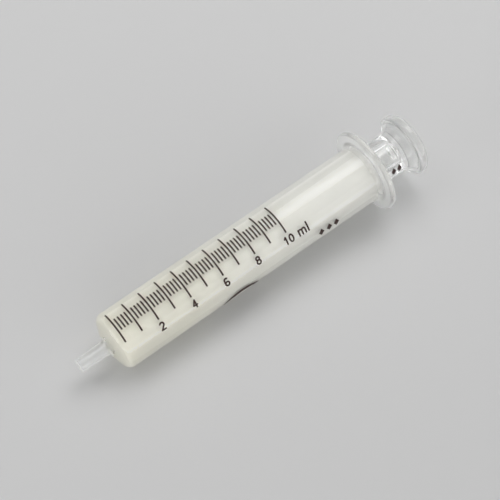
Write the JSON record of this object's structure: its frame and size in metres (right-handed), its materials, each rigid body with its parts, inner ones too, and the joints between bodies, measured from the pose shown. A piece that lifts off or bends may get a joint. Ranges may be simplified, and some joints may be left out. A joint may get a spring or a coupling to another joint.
{
  "type": "glass oral syringe",
  "caption": "All-glass oral syringe: graduated barrel with slip nozzle and round finger flange, ground hollow plunger with flared neck and thumb disc, brown enamel scale.",
  "frame": {"origin": "centre of the nozzle mouth, on the syringe's axis", "axes": "+X along the axis from the nozzle to the thumb disc, +Z out through the middle of the scale lines, +Y across, away from the side with the numerals"},
  "size_m": [0.1179, 0.026, 0.026],
  "materials": {
    "clear_glass": "polished",
    "ground_glass": "matte",
    "brown_enamel": "satin"
  },
  "bodies": {
    "barrel": {"nozzle": "clear_glass", "barrel_end_wall": "clear_glass", "barrel_tube": "clear_glass", "finger_flange": "clear_glass", "scale_major_lines": "brown_enamel", "scale_minor_lines": "brown_enamel", "numeral_2": "brown_enamel", "numeral_4": "brown_enamel", "numeral_6": "brown_enamel", "numeral_8": "brown_enamel", "numeral_10": "brown_enamel", "unit_mark": "brown_enamel", "barrel_pair_mark": "brown_enamel", "side_oval_mark": "brown_enamel"},
    "plunger_carrier": {"plunger_end_disc": "ground_glass"},
    "plunger": {"plunger_tube": "ground_glass", "plunger_neck": "clear_glass", "thumb_disc": "clear_glass", "plunger_pair_mark": "brown_enamel"}
  },
  "joints": [
    {"name": "plunger_slide", "type": "slide", "parent": "barrel", "child": "plunger_carrier", "axis": [1, 0, 0], "range_m": [0, 0.05511]},
    {"name": "plunger_turn", "type": "hinge", "parent": "plunger_carrier", "child": "plunger", "pos_m": [0.0578, 0, 0], "axis": [1, 0, 0], "continuous": true}
  ]
}
